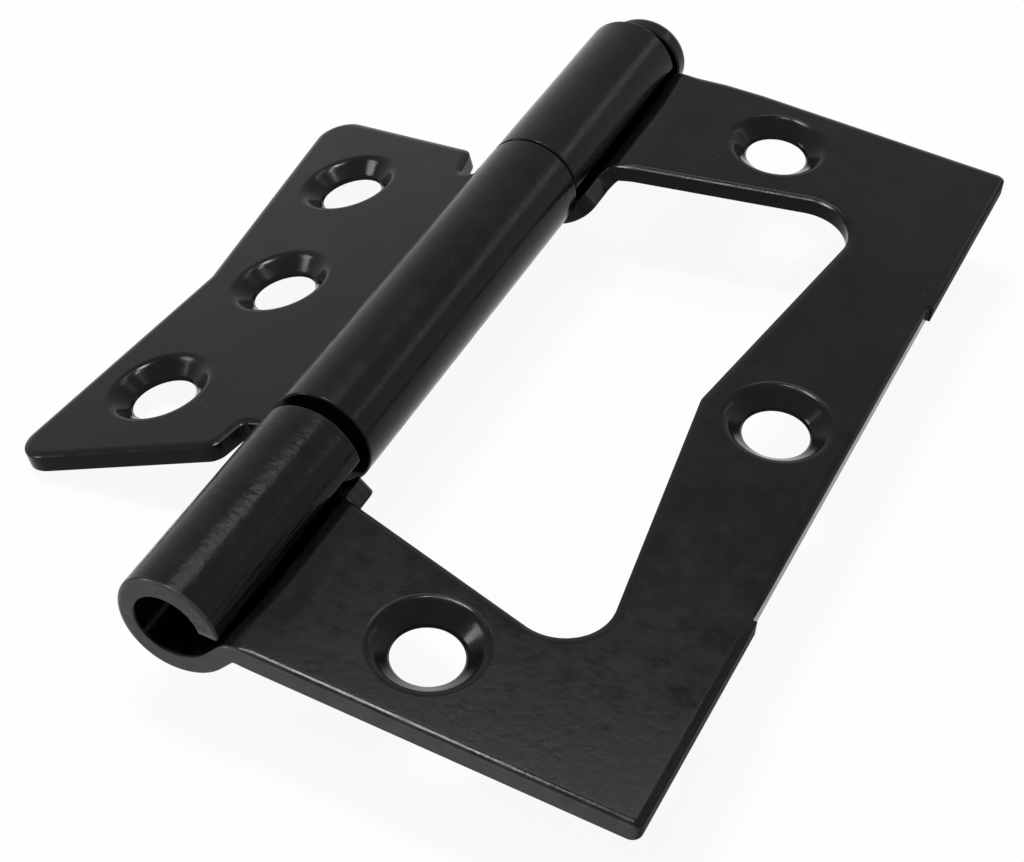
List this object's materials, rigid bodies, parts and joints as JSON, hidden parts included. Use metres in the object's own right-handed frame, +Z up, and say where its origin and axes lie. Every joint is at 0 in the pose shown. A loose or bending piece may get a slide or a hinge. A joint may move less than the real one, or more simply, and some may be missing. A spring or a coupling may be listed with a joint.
{
  "type": "flush hinge",
  "caption": "Non-mortise steel hinge: a small leaf nests in the window of a frame-shaped leaf, and both turn on one headed pin through rolled knuckles.",
  "frame": {"origin": "on the pin's axis, half way along the barrel", "axes": "+Y along the pin towards its head, +X out along the outer leaf, which lies flat, +Z up, towards the countersunk faces"},
  "size_m": [0.0585, 0.0786, 0.013],
  "materials": {
    "outer_leaf": "satin black coating on sheet steel",
    "inner_leaf": "satin black coating on sheet steel",
    "hinge_pin": "satin black coating on a steel pin"
  },
  "bodies": {
    "frame_leaf": {"outer_leaf": "outer_leaf", "hinge_pin": "hinge_pin"},
    "swing_leaf": {"inner_leaf": "inner_leaf"}
  },
  "joints": [
    {"name": "leaf_swing", "type": "hinge", "parent": "frame_leaf", "child": "swing_leaf", "pos_m": [0, 0, 0], "axis": [0, 1, 0], "range_deg": [-70.7, 199.3]}
  ]
}
